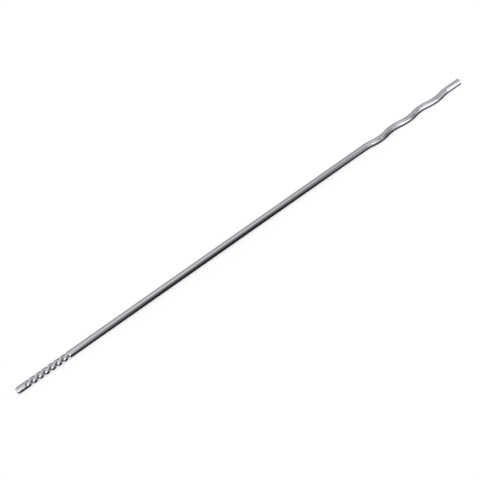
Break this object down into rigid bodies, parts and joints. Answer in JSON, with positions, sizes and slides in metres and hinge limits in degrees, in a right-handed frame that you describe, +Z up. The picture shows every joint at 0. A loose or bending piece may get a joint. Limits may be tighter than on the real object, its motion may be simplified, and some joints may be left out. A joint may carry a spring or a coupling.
{
  "type": "masonry wall tie",
  "caption": "Straight round wire tie with a helically fluted driven end and a waved end, joining an outer brick leaf to a backing wall across insulation.",
  "frame": {"origin": "centre of the bounding box on the surface that the tie lies on", "axes": "+X along the wire from the driven tip to the struck end, +Z up from the surface, wave level with its troughs towards -Y"},
  "size_m": [0.3, 0.0064, 0.004],
  "materials": {
    "stainless_wire": "bright drawn wire"
  },
  "bodies": {
    "root": {"wall_tie": "stainless_wire"}
  },
  "joints": []
}
